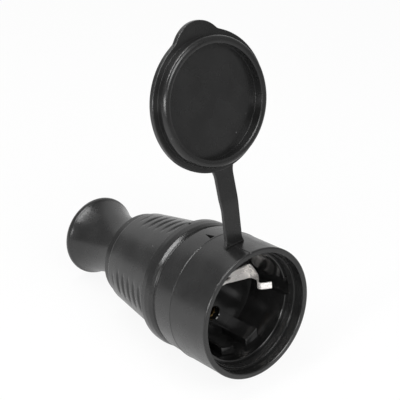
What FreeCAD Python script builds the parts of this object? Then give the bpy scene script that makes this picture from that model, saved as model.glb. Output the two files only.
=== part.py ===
"""Inline socket connector with a hinged cap, lying on a table with its cap open.

Connector frame: the origin is the centre of the mouth, +Z points out of the mouth along the axis,
+Y points at the cap's strap and +X to the side. Depths are counted back from the mouth.
The last section turns this frame to the way the connector lies: mouth towards -Y, cap up.
Lengths are in millimetres and angles in degrees.
"""
import FreeCAD, Part
import math
import os
import re
import Sketcher
from FreeCAD import Placement, Rotation, Vector

SIZES = {
    # Socket insert, rigid plastic
    "recess_radius": 19.75, "recess_length": 17.5, "insert_wall": 2.65, "floor_thickness": 3.0,
    "rim_slope": 0.6, "rim_step": 0.55, "skirt_wall": 1.5, "skirt_length": 4.7, "snap_rib_height": 0.5,
    "snap_rib_width": 1.6, "front_snap_setback": 5.7, "rear_snap_reach": 6.3, "pin_spacing": 19.0,
    "pin_entry_radius": 2.75, "pin_entry_chamfer": 0.25, "stem_clearance": 0.1, "guide_gap": 5.8,
    "guide_width": 6.0, "guide_height": 2.75, "guide_length": 13.9, "guide_slope": 0.4,
    "guide_gap_at_wall": 0.05, "notch_width": 7.0, "notch_back": 0.8, "cut_past": 0.5, "wall_bite": 0.3,
    # Front sleeve, soft rubber
    "soft_fit": 0.1, "sleeve_wall": 2.6, "lip_width": 2.3, "lip_round": 1.1, "mouth_chamfer": 0.35,
    "mouth_length": 4.2, "ledge_overlap": 1.1, "ledge_thickness": 3.6, "sleeve_length": 19.7,
    "edge_break": 0.35, "pad_height": 0.45, "pad_margin": 0.7,
    # Rear handle, soft rubber
    "collar_step": 0.35, "collar_taper": 0.45, "collar_band": 10.6, "collar_groove_cut": 0.5,
    "collar_groove_width": 0.9, "ridge_rise": 0.65, "ridge_setback": 3.9, "ridge_round": 10.9,
    "ridge_fall": 0.75, "ridge_back": 2.6, "barrel_step": 1.2, "barrel_taper": 4.3, "barrel_run": 28.0,
    "shoulder_round": 1.4, "ring_step": 1.7, "ring_length": 3.9, "ring_round": 0.8, "neck_radius": 12.2,
    "neck_run": 6.7, "neck_round": 1.7, "flare_radius": 36.0, "bell_radius": 16.1, "bell_round": 2.4,
    "bell_run": 24.0, "bell_lip": 3.2, "trumpet_length": 14.0, "trumpet_radius": 17.0,
    "cable_bore_radius": 5.6, "handle_wall": 3.6, "rest_flat": 0.22, "grip_count": 6, "grip_start": 4.4,
    "grip_pitch": 4.1, "grip_round": 1.15, "grip_cut": 0.75, "grip_fade": 24.0, "arrow_width": 3.6,
    "arrow_length": 2.6, "arrow_cut": 0.7, "arrow_margin": 0.4,
    # Terminal carrier, rigid plastic
    "carrier_fit": 0.2, "carrier_plate": 3.2, "carrier_block_width": 13.0, "carrier_hold": 4.0,
    "carrier_corner": 2.0, "arm_width": 7.0, "arm_thickness": 1.7, "arm_clearance": 0.4, "arm_inset": 0.4,
    "carrier_screw_inset": 4.5, "carrier_screw_radius": 1.25, "carrier_head_radius": 2.5,
    "carrier_head_height": 1.8, "carrier_screw_bite": 2.2,
    # Earth strip, sprung sheet
    "strip_thickness": 0.8, "strip_width": 5.8, "strip_offset": 1.3, "strip_gap": 0.5,
    "strip_knee_height": 4.6, "nose_reach": 5.85, "nose_rise": 5.4, "tip_gap": 1.55, "tip_rise": 2.6,
    "nose_width": 0.35, "arm_tip_width": 2.6, "strip_slot_radius": 8.5, "strip_slot_length": 2.6,
    "strip_slot_width": 1.2,
    # Contacts and terminals, brass and steel
    "contact_bore_radius": 2.45, "contact_wall": 0.85, "contact_tube_length": 12.7, "contact_slit": 0.6,
    "contact_slit_length": 9.0, "contact_web": 1.0, "spring_wall": 0.5, "spring_length": 4.5,
    "spring_setback": 1.5, "spring_gap": 1.6, "pocket_clearance": 0.2, "terminal_width": 6.8,
    "terminal_height": 6.4, "terminal_length": 10.0, "wire_hole_radius": 1.6, "wire_hole_length": 8.0,
    "terminal_screw_radius": 1.25, "terminal_screw_setback": 3.2, "terminal_head_radius": 2.4,
    "terminal_head_height": 1.7, "terminal_head_standoff": 1.2, "driver_slot": 0.6, "stem_radius": 1.9,
    # Cord clamp, seal and washer
    "clamp_setback": 3.0, "clamp_length": 6.0, "clamp_thickness": 6.4, "clamp_gap": 1.0,
    "clamp_groove_radius": 4.4, "clamp_screw_inset": 3.6, "clamp_screw_radius": 1.4,
    "clamp_head_radius": 2.5, "clamp_head_height": 1.8, "clamp_margin": 1.5, "seal_radius": 8.5,
    "seal_bore_radius": 4.6, "seal_length": 5.2, "seal_chamfer": 0.8, "washer_thickness": 1.2,
    # Cap and strap, soft rubber
    "cap_inset": 0.5, "cap_thickness": 2.2, "cap_edge_round": 0.7, "bead_fit": 0.4, "bead_width": 2.5,
    "bead_clearance": 0.3, "bead_root_round": 0.3, "tab_radius": 10.2, "tab_inset": 6.5,
    "tab_mark_radius": 0.8, "tab_mark_cut": 0.2, "tab_mark_reach": 8.2, "cap_margin": 0.5,
    "cap_seat_gap": 0.15, "cap_lean": 8.2, "strap_total": 27.8, "strap_lean": 1.6, "strap_depth": 9.3,
    "strap_width": 7.8, "strap_root_width": 8.8, "strap_thickness": 1.9, "strap_bite": 1.2,
    "flex_gap": 0.2,
}

# Sizes and depths that follow from the ones above, so that neighbours keep their fit
FOLLOWING = {
    "insert_radius": "recess_radius + insert_wall",
    "skirt_inner": "insert_radius - skirt_wall",
    "soft_bore": "insert_radius + soft_fit",
    "shell_radius": "soft_bore + sleeve_wall",
    "mouth_radius": "shell_radius - lip_width",
    "ledge_radius": "insert_radius - ledge_overlap",
    "seat_depth": "mouth_length + ledge_thickness",
    "recess_floor": "seat_depth + recess_length",
    "floor_back": "recess_floor + floor_thickness",
    "skirt_end": "floor_back + skirt_length",
    "plate_back": "floor_back + carrier_plate",
    "terminal_front": "floor_back + contact_tube_length",
    "terminal_back": "terminal_front + terminal_length",
    "clamp_front": "terminal_back + clamp_setback",
    "clamp_back": "clamp_front + clamp_length",
    "cavity_end": "clamp_back + clamp_margin",
    "seal_front": "cavity_end + washer_thickness",
    "seal_back": "seal_front + seal_length",
    "front_snap": "sleeve_length - front_snap_setback",
    "rear_snap": "sleeve_length + rear_snap_reach",
    "guide_face": "recess_radius - guide_height",
    "notch_radius": "insert_radius - notch_back",
    "notch_foot": "sqrt(recess_radius^2 - (notch_width / 2)^2) - cut_past",
    "collar_radius": "shell_radius - collar_step",
    "waist_radius": "collar_radius - collar_taper",
    "ridge_radius": "waist_radius + ridge_rise",
    "collar_back_radius": "ridge_radius - ridge_fall",
    "collar_groove": "sleeve_length + collar_band",
    "ridge_depth": "collar_groove + ridge_setback",
    "collar_end": "ridge_depth + ridge_back",
    "barrel_front_radius": "collar_back_radius - barrel_step",
    "barrel_back_radius": "barrel_front_radius - barrel_taper",
    "barrel_end": "collar_end + barrel_run",
    "ring_radius": "barrel_back_radius - ring_step",
    "ring_end": "barrel_end + ring_length",
    "neck_depth": "ring_end + neck_run",
    "bell_end": "neck_depth + bell_run",
    "trumpet_depth": "bell_end - trumpet_length",
    "carrier_radius": "skirt_inner - carrier_fit",
    "pocket_radius": "contact_bore_radius + contact_wall + spring_wall + pocket_clearance",
    "clamp_cavity": "barrel_front_radius - handle_wall"
                    " - barrel_taper * (clamp_back - collar_end) / barrel_run",
    "arm_outer": "sqrt(clamp_cavity^2 - (arm_width / 2)^2) - arm_clearance",
    "arm_inner": "arm_outer - arm_thickness",
    "carrier_half_height": "arm_outer + arm_inset",
    "carrier_screw_place": "(carrier_radius - carrier_screw_inset) / sqrt(2)",
    "clamp_screw_place": "arm_inner - clamp_screw_inset",
    "clamp_screw_length": "1.8 * clamp_thickness + clamp_gap",
    "spring_front": "plate_back + spring_setback",
    "strip_bend_radius": "recess_radius - strip_gap",
    "nose_radius": "recess_radius - nose_reach",
    "tip_radius": "recess_radius - tip_gap",
    "nose_height": "strip_knee_height + nose_rise",
    "tip_height": "nose_height + tip_rise",
    "cap_radius": "shell_radius - cap_inset",
    "bead_radius": "mouth_radius - bead_fit",
    "bead_crest": "mouth_length - cap_seat_gap - bead_clearance",
    "tab_centre": "cap_radius - tab_inset",
    "tab_mark_centre": "tab_centre + tab_mark_reach",
    "pivot_height": "shell_radius + pad_height",
    "cap_reach": "cap_radius + cap_margin",
    "neck_length": "(strap_total^2 - (cap_reach - pivot_height)^2 - (strap_depth + cap_seat_gap)^2)"
                   " / (2 * (strap_total + cap_reach - pivot_height))",
    "link_length": "strap_total - neck_length",
}

doc = FreeCAD.newDocument("socket_connector")
sheet = doc.addObject("Spreadsheet::Sheet", "sizes")
cells = [(alias, str(size)) for alias, size in SIZES.items()]
cells += [(alias, "=" + formula) for alias, formula in FOLLOWING.items()]
for row, (alias, content) in enumerate(cells, start=1):
    sheet.set("A%d" % row, alias)
    sheet.set("B%d" % row, content)
    sheet.setAlias("B%d" % row, alias)
doc.recompute()

parts = {}


def bound(text):
    """Write each size's name in an expression as a reference to the spreadsheet."""
    known = dict(cells)
    return re.sub(r"[a-z][a-z0-9_]*", lambda name: ("sizes." if name[0] in known else "") + name[0], text)


def number(text):
    """Work an expression out to a plain number."""
    return float(sheet.evalExpression(bound(text)))


# Helpers for bodies and outlines

def new_body(label):
    body = doc.addObject("PartDesign::Body", label)
    body.Label = label
    parts[label] = body
    return body


def plane_of(body, role):
    return [item for item in body.Origin.OriginFeatures if item.Role == role][0]


def new_sketch(body, name, role, offset="0"):
    """Put a sketch on one of the body's origin planes, moved along the plane's normal by offset."""
    sketch = body.newObject("Sketcher::SketchObject", name)
    sketch.AttachmentSupport = [(plane_of(body, role), "")]
    sketch.MapMode = "FlatFace"
    if offset != "0":
        sketch.setExpression("AttachmentOffset.Base.z", bound(offset))
    return sketch


def pin_vertex(sketch, geometry, end, corner):
    """Fix one end of an edge at a corner given by two expressions."""
    for kind, text in zip(("DistanceX", "DistanceY"), corner):
        index = sketch.addConstraint(Sketcher.Constraint(kind, -1, 1, geometry, end, number(text)))
        sketch.setExpression("Constraints[%d]" % index, bound(text))


def arc_between(start, finish, radius, turn):
    """An arc from start to finish; turn is 1 when it runs anticlockwise, -1 when it runs clockwise."""
    chord = finish - start
    rise = math.sqrt(max(radius ** 2 - (chord.Length / 2) ** 2, 0))
    normal = Vector(-chord.y, chord.x, 0).normalize()
    centre = (start + finish) / 2 + normal * rise * turn
    first, last = (start, finish) if turn > 0 else (finish, start)
    angles = [math.atan2(point.y - centre.y, point.x - centre.x) for point in (first, last)]
    return Part.ArcOfCircle(Part.Circle(centre, Vector(0, 0, 1), radius), angles[0], angles[1])


def draw_outline(sketch, corners):
    """Draw a closed outline. A corner is (x, y), or (x, y, radius, turn) where an arc starts at it."""
    spots = [Vector(number(corner[0]), number(corner[1]), 0) for corner in corners]
    ends = []
    for index, corner in enumerate(corners):
        start, finish = spots[index], spots[(index + 1) % len(spots)]
        if len(corner) == 2:
            geometry = sketch.addGeometry(Part.LineSegment(start, finish))
            ends.append((geometry, 1, 2))
        else:
            geometry = sketch.addGeometry(arc_between(start, finish, number(corner[2]), corner[3]))
            ends.append((geometry, 1, 2) if corner[3] > 0 else (geometry, 2, 1))
    for index, (geometry, _, last) in enumerate(ends):
        following, begin, _ = ends[(index + 1) % len(ends)]
        sketch.addConstraint(Sketcher.Constraint("Coincident", geometry, last, following, begin))
    for index, corner in enumerate(corners):
        pin_vertex(sketch, ends[index][0], ends[index][1], corner[:2])
        if len(corner) == 4:
            key = sketch.addConstraint(Sketcher.Constraint("Radius", ends[index][0], number(corner[2])))
            sketch.setExpression("Constraints[%d]" % key, bound(corner[2]))


def draw_circle(sketch, x, y, radius):
    circle = sketch.addGeometry(Part.Circle(Vector(number(x), number(y), 0), Vector(0, 0, 1), number(radius)))
    pin_vertex(sketch, circle, 3, (x, y))
    key = sketch.addConstraint(Sketcher.Constraint("Radius", circle, number(radius)))
    sketch.setExpression("Constraints[%d]" % key, bound(radius))


def draw_box(sketch, x_low, x_high, y_low, y_high):
    draw_outline(sketch, [(x_low, y_low), (x_high, y_low), (x_high, y_high), (x_low, y_high)])


def revolve(body, name, corners, kind="PartDesign::Revolution"):
    """Turn an outline of (radius, height) about the body's Z axis."""
    sketch = new_sketch(body, name + "_outline", "XZ_Plane")
    draw_outline(sketch, corners)
    feature = body.newObject(kind, name)
    feature.Profile = sketch
    feature.ReferenceAxis = (sketch, ["V_Axis"])
    feature.Angle = 360
    doc.recompute()
    return feature


def extrude(body, name, sketch, length, reverse=False, midplane=False, kind="PartDesign::Pad"):
    feature = body.newObject(kind, name)
    feature.Profile = sketch
    feature.setExpression("Length", bound(length))
    feature.Reversed = reverse
    if midplane:
        feature.SideType = "Symmetric"
    doc.recompute()
    return feature


def cut(body, name, sketch, length, reverse=False, midplane=False):
    """Pocket a sketch and make sure that it took something away."""
    before = body.Shape.Volume
    feature = extrude(body, name, sketch, length, reverse, midplane, "PartDesign::Pocket")
    if body.Shape.Volume > before - 1e-6:
        raise RuntimeError(name + " cuts nothing")
    return feature


def repeat(body, name, originals, count, axis="Z_Axis"):
    """Copy features round one of the body's axes."""
    pattern = body.newObject("PartDesign::PolarPattern", name)
    pattern.Originals = originals
    pattern.Axis = (plane_of(body, axis), [""])
    pattern.Angle = 360
    pattern.Occurrences = count
    body.Tip = pattern
    doc.recompute()
    return pattern


def round_edges(body, name, radius, test, kind="PartDesign::Fillet"):
    """Fillet or chamfer the edges of the body's tip that pass a test."""
    tip = body.Tip
    chosen = ["Edge%d" % (index + 1) for index, edge in enumerate(tip.Shape.Edges) if test(edge)]
    if not chosen:
        raise RuntimeError(name + " finds no edge")
    feature = body.newObject(kind, name)
    feature.Base = (tip, chosen)
    feature.setExpression("Radius" if kind.endswith("Fillet") else "Size", bound(radius))
    doc.recompute()
    return feature


def is_circle(edge, radius, height):
    """Whether an edge is a whole circle of this radius at this height, square to the Z axis."""
    curve = edge.Curve
    if not isinstance(curve, Part.Circle) or not edge.isClosed():
        return False
    return abs(curve.Radius - radius) < 1e-4 and abs(curve.Center.z - height) < 1e-4


# Helpers for primitives and booleans

def new_box(name, x, y, z):
    """A box between two expressions on each axis."""
    box = doc.addObject("Part::Box", name)
    for size, place, (low, high) in zip(("Length", "Width", "Height"), "xyz", (x, y, z)):
        box.setExpression(size, bound("(%s) - (%s)" % (high, low)))
        box.setExpression("Placement.Base." + place, bound(low))
    return box


def new_rod(name, radius, base, length, direction=Vector(0, 0, 1)):
    """A cylinder from base, three expressions, along direction."""
    rod = doc.addObject("Part::Cylinder", name)
    rod.Placement = Placement(Vector(), Rotation(Vector(0, 0, 1), direction))
    rod.setExpression("Radius", bound(radius))
    rod.setExpression("Height", bound(length))
    for place, text in zip("xyz", base):
        rod.setExpression("Placement.Base." + place, bound(text))
    return rod


def combine(kind, name, shapes):
    joined = doc.addObject(kind, name)
    if kind == "Part::Compound":
        joined.Links = shapes
    else:
        joined.Shapes = shapes
    return joined


def subtract(name, base, tools):
    """Cut several tools from a base."""
    result = doc.addObject("Part::Cut", name)
    result.Base = base
    result.Tool = tools[0] if len(tools) == 1 else combine("Part::MultiFuse", name + "_tools", tools)
    return result


def keep(label, shape):
    """Name a finished piece."""
    shape.Label = label
    parts[label] = shape
    return shape


# Housing pieces

def snap_rib(radius, depth, grow):
    """Corners of a shallow rib that stands out from a wall, from back to front."""
    outer = "%s + snap_rib_height + %s" % (radius, grow)
    return [(radius, "-(%s + snap_rib_width / 2 + %s)" % (depth, grow)),
            (outer, "-(%s + snap_rib_width / 5 + %s)" % (depth, grow)),
            (outer, "-(%s - snap_rib_width / 5 - %s)" % (depth, grow)),
            (radius, "-(%s - snap_rib_width / 2 - %s)" % (depth, grow))]


def make_front_sleeve():
    body = new_body("front_sleeve")
    revolve(body, "sleeve_wall", [
        ("mouth_radius", "-mouth_length"), ("mouth_radius", "-mouth_chamfer"),
        ("mouth_radius + mouth_chamfer", "0"), ("shell_radius - lip_round", "0", "lip_round", -1),
        ("shell_radius", "-lip_round"), ("shell_radius", "-(sleeve_length - edge_break)"),
        ("shell_radius - edge_break", "-sleeve_length"), ("soft_bore", "-sleeve_length")]
        + snap_rib("soft_bore", "front_snap", "soft_fit")
        + [("soft_bore", "-seat_depth"), ("ledge_radius", "-seat_depth"), ("ledge_radius", "-mouth_length")])
    side = new_sketch(body, "strap_pad_side", "YZ_Plane")
    draw_outline(side, [
        ("shell_radius - 2 * pad_height", "-(strap_depth - pad_margin)"),
        ("shell_radius - pad_height / 2", "-(strap_depth - pad_margin)"),
        ("shell_radius + pad_height - flex_gap", "-(strap_depth - pad_margin / 3)"),
        ("shell_radius + pad_height - flex_gap", "-(strap_depth + strap_thickness + pad_margin / 3)"),
        ("shell_radius - pad_height / 2", "-(strap_depth + strap_thickness + pad_margin)"),
        ("shell_radius - 2 * pad_height", "-(strap_depth + strap_thickness + pad_margin)")])
    extrude(body, "strap_pad", side, "strap_width + pad_margin", midplane=True)


def barrel_radius(depth):
    """Radius of the tapered grip at a depth, as an expression."""
    return "(barrel_front_radius - barrel_taper * (%s - collar_end) / barrel_run)" % depth


def make_grip_grooves(body):
    """Grooves on four sides, each a ring set off centre so that it fades out at both ends."""
    grooves = []
    for index in range(int(SIZES["grip_count"])):
        depth = "(collar_end + grip_start + %d * grip_pitch)" % index
        groove = body.newObject("PartDesign::SubtractiveTorus", "grip_groove_%d" % (index + 1))
        groove.AttachmentSupport = [(plane_of(body, "XY_Plane"), "")]
        groove.MapMode = "FlatFace"
        middle = barrel_radius(depth) + " + grip_round - grip_cut + grip_fade"
        groove.setExpression("Radius1", bound(middle))
        groove.setExpression("Radius2", bound("grip_round"))
        groove.setExpression("AttachmentOffset.Base.y", bound("-grip_fade"))
        groove.setExpression("AttachmentOffset.Base.z", bound("-" + depth))
        grooves.append(groove)
    doc.recompute()
    repeat(body, "grip_sides", grooves, 4)


def make_rear_handle():
    body = new_body("rear_handle")
    bell_edge = "(bell_radius - bell_round)"
    revolve(body, "handle_wall_body", [
        ("soft_bore", "-sleeve_length"), ("collar_radius", "-sleeve_length"),
        ("waist_radius", "-(collar_groove - collar_groove_width / 2)"),
        ("waist_radius - collar_groove_cut", "-collar_groove"),
        ("waist_radius", "-(collar_groove + collar_groove_width / 2)", "ridge_round", -1),
        ("ridge_radius", "-ridge_depth", "ridge_round", -1),
        ("collar_back_radius", "-(collar_end - edge_break)"),
        ("collar_back_radius - edge_break", "-collar_end"), ("barrel_front_radius", "-collar_end"),
        ("barrel_back_radius", "-barrel_end", "shoulder_round", -1),
        ("barrel_back_radius - shoulder_round", "-(barrel_end + shoulder_round)"),
        ("ring_radius", "-(barrel_end + shoulder_round)"),
        ("ring_radius", "-(ring_end - ring_round)", "ring_round", -1),
        ("ring_radius - ring_round", "-ring_end"),
        ("neck_radius + neck_round", "-ring_end", "neck_round", 1),
        ("neck_radius", "-(ring_end + neck_round)"), ("neck_radius", "-neck_depth", "flare_radius", 1),
        ("%s + 0.75 * bell_round" % bell_edge, "-(bell_end - 1.66 * bell_round)", "bell_round", -1),
        (bell_edge, "-bell_end"), ("bell_radius - bell_lip", "-bell_end", "bell_round / 2", -1),
        ("bell_radius - bell_lip - 0.4 * bell_round", "-(bell_end - bell_round / 2)", "trumpet_radius", -1),
        ("cable_bore_radius", "-trumpet_depth"), ("cable_bore_radius", "-seal_back"),
        ("seal_radius + soft_fit", "-seal_back"), ("seal_radius + soft_fit", "-cavity_end"),
        ("%s - handle_wall" % barrel_radius("cavity_end"), "-cavity_end"),
        ("%s - handle_wall" % barrel_radius("collar_end"), "-collar_end"),
        ("skirt_inner", "-skirt_end"), ("soft_bore", "-skirt_end")]
        + snap_rib("soft_bore", "rear_snap", "soft_fit"))
    make_grip_grooves(body)

    arrow = new_sketch(body, "arrow_outline", "XZ_Plane", "-shell_radius")
    base = "-(sleeve_length + arrow_margin)"
    draw_outline(arrow, [
        ("-arrow_width / 2", base), ("arrow_width / 2", base), ("0", base + " - arrow_length")])
    cut(body, "arrow_recess", arrow, "arrow_cut + shell_radius - collar_radius", reverse=True)

    # Soft rubber settles on the table in two small flats
    slope = "((ridge_radius - bell_radius) / (bell_end - bell_round - ridge_depth))"
    table = "-(ridge_radius - rest_flat) + %s * (%s - ridge_depth)"
    front, back = "0", "(bell_end + bell_round)"
    flats = new_sketch(body, "table_outline", "YZ_Plane")
    draw_outline(flats, [
        (table % (slope, front), "-" + front), (table % (slope, back), "-" + back),
        ("-2 * shell_radius", "-" + back), ("-2 * shell_radius", "-" + front)])
    cut(body, "table_flats", flats, "2 * shell_radius", midplane=True)


def make_socket_insert():
    body = new_body("socket_insert")
    revolve(body, "insert_cup", [
        ("0", "-recess_floor"), ("recess_radius", "-recess_floor"),
        ("recess_radius", "-(seat_depth + rim_slope)"), ("recess_radius + rim_step", "-seat_depth"),
        ("insert_radius", "-seat_depth")]
        + snap_rib("insert_radius", "front_snap", "0")[::-1]
        + snap_rib("insert_radius", "rear_snap", "0")[::-1]
        + [("insert_radius", "-skirt_end"), ("skirt_inner", "-skirt_end"),
           ("skirt_inner", "-floor_back"), ("0", "-floor_back")])

    # Two guide ribs with a gap between them, above and below
    ribs = new_sketch(body, "guide_outline", "XY_Plane", "-recess_floor")
    low, high, wall = "(guide_gap / 2)", "(guide_gap / 2 + guide_width)", "(recess_radius + wall_bite)"
    for side, turn in (("-", 1), ("", -1)):
        ends = [("%s%s" % (side, x), "sqrt(%s^2 - %s^2)" % (r, x)) for r, x in (
            ("guide_face", low), (wall, low), (wall, high), ("guide_face", high))]
        draw_outline(ribs, [
            ends[0], ends[1] + (wall, turn), ends[2], ends[3] + ("guide_face", -turn)])
    pad = extrude(body, "guide_ribs", ribs, "guide_length")
    repeat(body, "guide_pairs", [pad], 2)
    top = "-(recess_floor - guide_length"
    past = top + " - 2 * cut_past)"
    near, far = "guide_face - 2 * cut_past", "recess_radius - guide_gap_at_wall"
    revolve(body, "guide_fronts", [
        (near, top + " + guide_slope)"), (far, top + ")"), (far, past), (near, past)], "PartDesign::Groove")

    notches = new_sketch(body, "notch_outline", "XY_Plane", "-(seat_depth - cut_past)")
    for low, high in (("-notch_radius", "-notch_foot"), ("notch_foot", "notch_radius")):
        draw_box(notches, low, high, "-notch_width / 2", "notch_width / 2")
    cut(body, "strip_notches", notches, "recess_length + cut_past")

    entries = new_sketch(body, "entry_outline", "XY_Plane", "-(recess_floor - cut_past)")
    draw_circle(entries, "0", "pin_spacing / 2", "pin_entry_radius")
    draw_circle(entries, "0", "-pin_spacing / 2", "pin_entry_radius")
    draw_circle(entries, "0", "0", "stem_radius + stem_clearance")
    cut(body, "floor_holes", entries, "floor_thickness + 2 * cut_past")
    pilots = new_sketch(body, "pilot_outline", "XY_Plane", "-floor_back")
    draw_circle(pilots, "carrier_screw_place", "carrier_screw_place", "carrier_screw_radius")
    draw_circle(pilots, "-carrier_screw_place", "-carrier_screw_place", "carrier_screw_radius")
    cut(body, "screw_pilots", pilots, "carrier_screw_bite + 2 * stem_clearance", reverse=True)
    radius, floor = number("pin_entry_radius"), number("-recess_floor")
    round_edges(body, "entry_chamfers", "pin_entry_chamfer", lambda edge: is_circle(edge, radius, floor),
                "PartDesign::Chamfer")


def make_terminal_carrier():
    body = new_body("terminal_carrier")
    plate = new_sketch(body, "plate_outline", "XY_Plane", "-floor_back")
    draw_circle(plate, "0", "0", "carrier_radius")
    extrude(body, "carrier_disc", plate, "carrier_plate", reverse=True)

    block = new_sketch(body, "block_outline", "XY_Plane", "-plate_back")
    half_x, half_y, corner = "carrier_block_width / 2", "carrier_half_height", "carrier_corner"
    flat_x, flat_y = "(%s - %s)" % (half_x, corner), "(%s - %s)" % (half_y, corner)
    draw_outline(block, [
        (flat_x, "-" + half_y, corner, 1), (half_x, "-" + flat_y), (half_x, flat_y, corner, 1),
        (flat_x, half_y), ("-" + flat_x, half_y, corner, 1), ("-" + half_x, flat_y),
        ("-" + half_x, "-" + flat_y, corner, 1), ("-" + flat_x, "-" + half_y)])
    extrude(body, "carrier_block", block, "terminal_front + carrier_hold - plate_back", reverse=True)

    arms = new_sketch(body, "arm_outline", "XY_Plane", "-plate_back")
    draw_box(arms, "-arm_width / 2", "arm_width / 2", "arm_inner", "arm_outer")
    draw_box(arms, "-arm_width / 2", "arm_width / 2", "-arm_outer", "-arm_inner")
    extrude(body, "clamp_arms", arms, "clamp_back - plate_back", reverse=True)

    pockets = new_sketch(body, "pocket_outline", "XY_Plane", "-floor_back")
    for place in ("pin_spacing / 2", "-pin_spacing / 2"):
        draw_circle(pockets, "0", place, "pocket_radius")
    draw_circle(pockets, "0", "0", "stem_radius + stem_clearance")
    for sign in ("", "-"):
        spot = sign + "carrier_screw_place"
        draw_circle(pockets, spot, spot, "carrier_screw_radius + stem_clearance")
    cut(body, "contact_pockets", pockets, "contact_tube_length")
    seats = new_sketch(body, "terminal_seats", "XY_Plane", "-terminal_front")
    for place in ("pin_spacing / 2", "0", "-pin_spacing / 2"):
        draw_box(seats, "-(terminal_width / 2 + stem_clearance)", "terminal_width / 2 + stem_clearance",
                 "%s - terminal_height / 2 - stem_clearance" % place,
                 "%s + terminal_height / 2 + stem_clearance" % place)
    cut(body, "terminal_pockets", seats, "terminal_length")


# Metal pieces

def make_earth_strip():
    """One folded sheet across the recess floor whose two ends spring inwards."""
    body = new_body("earth_strip")
    base = "-recess_floor"
    side = new_sketch(body, "strip_side", "XZ_Plane", "-strip_offset")
    left = [("-strip_bend_radius", base), ("-strip_bend_radius", base + " + strip_knee_height"),
            ("-(nose_radius + nose_width)", base + " + nose_height"),
            ("-(tip_radius + nose_width)", base + " + tip_height"),
            ("-tip_radius", base + " + tip_height + strip_thickness"),
            ("-nose_radius", base + " + nose_height + nose_width"),
            ("-nose_radius", base + " + nose_height - nose_width"),
            ("-(strip_bend_radius - strip_thickness)", base + " + strip_knee_height - nose_width"),
            ("-(strip_bend_radius - strip_thickness)", base + " + strip_thickness")]
    right = [(x[1:], y) for x, y in reversed(left)]
    draw_outline(side, left + right)
    extrude(body, "strip_sheet", side, "strip_width", midplane=True)

    narrow = new_sketch(body, "arm_taper", "YZ_Plane")
    edge, slim = "(strip_offset + strip_width / 2)", "(strip_offset - strip_width / 2 + arm_tip_width)"
    draw_outline(narrow, [
        (edge + " + cut_past", base + " + strip_thickness"), (edge, base + " + strip_thickness"),
        (slim, base + " + strip_knee_height"), (slim, base + " + tip_height + 2 * strip_thickness"),
        (edge + " + cut_past", base + " + tip_height + 2 * strip_thickness")])
    cut(body, "arm_sides", narrow, "2 * insert_radius", midplane=True)
    slots = new_sketch(body, "slot_outline", "XY_Plane", base)
    for sign in ("", "-"):
        middle = "(%sstrip_slot_radius)" % sign
        draw_box(slots, middle + " - strip_slot_length / 2", middle + " + strip_slot_length / 2",
                 "strip_offset - strip_slot_width / 2", "strip_offset + strip_slot_width / 2")
    cut(body, "strip_slots", slots, "strip_thickness", reverse=True)


def terminal_block(name, place):
    """A block with a wire hole at the back and a screw hole from the side."""
    block = new_box(name + "_block", ("-terminal_width / 2", "terminal_width / 2"),
                    ("%s - terminal_height / 2" % place, "%s + terminal_height / 2" % place),
                    ("-terminal_back", "-terminal_front"))
    wire = new_rod(name + "_wire_hole", "wire_hole_radius", ("0", place, "-terminal_back"),
                   "wire_hole_length")
    screw = new_rod(name + "_screw_hole", "terminal_screw_radius",
                    ("0", place, "-(terminal_back - terminal_screw_setback)"), "terminal_width / 2",
                    Vector(1, 0, 0))
    return subtract(name + "_drilled_block", block, [wire, screw])


def make_contact(label, place):
    """A slit sleeve for the plug's pin, in one piece with its terminal block."""
    outer = new_rod(label + "_tube", "contact_bore_radius + contact_wall", ("0", place, "-terminal_front"),
                    "contact_tube_length")
    bore = new_rod(label + "_bore", "contact_bore_radius",
                   ("0", place, "-(terminal_front - contact_web)"), "contact_tube_length")
    reach = "contact_bore_radius + contact_wall + cut_past"
    slit = ("-(floor_back + contact_slit_length)", "-(floor_back - cut_past)")
    slits = [
        new_box(label + "_slit_x", ("-(%s)" % reach, reach),
                (place + " - contact_slit / 2", place + " + contact_slit / 2"), slit),
        new_box(label + "_slit_y", ("-contact_slit / 2", "contact_slit / 2"),
                ("%s - (%s)" % (place, reach), "%s + %s" % (place, reach)), slit)]
    sleeve = subtract(label + "_sleeve", outer, [bore] + slits)
    keep(label, combine("Part::MultiFuse", label, [sleeve, terminal_block(label, place)]))


def make_contact_spring(label, place):
    """An open steel ring that keeps the slit sleeve closed on the pin."""
    inner = "contact_bore_radius + contact_wall"
    base = ("0", place, "-(spring_front + spring_length)")
    ring = new_rod(label + "_ring", inner + " + spring_wall", base, "spring_length")
    hole = new_rod(label + "_hole", inner, base, "spring_length")
    gap = new_box(label + "_gap", ("0", inner + " + spring_wall + cut_past"),
                  (place + " - spring_gap / 2", place + " + spring_gap / 2"),
                  ("-(spring_front + spring_length)", "-spring_front"))
    keep(label, subtract(label, ring, [hole, gap]))


def make_screw(name, base, direction, shank_radius, shank_length, head_radius, head_height):
    """A slotted screw; base is the point under its head and direction is the way the shank runs."""
    turned = Rotation(Vector(0, 0, 1), direction)
    shank = new_rod(name + "_shank", shank_radius, base, shank_length, direction)
    head = new_rod(name + "_head", head_radius, base, head_height, direction * -1)
    slot = doc.addObject("Part::Box", name + "_slot")
    slot.setExpression("Length", bound("driver_slot"))
    slot.setExpression("Width", bound("2 * (%s) + 2 * cut_past" % head_radius))
    slot.setExpression("Height", bound(head_height))
    corner = Vector(number("-driver_slot / 2"), number("-(%s) - cut_past" % head_radius),
                    number("-1.5 * (%s)" % head_height))
    slot.Placement = Placement(Vector(*[number(text) for text in base]) + turned.multVec(corner), turned)
    return combine("Part::MultiFuse", name, [shank, subtract(name + "_slotted_head", head, [slot])])


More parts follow.
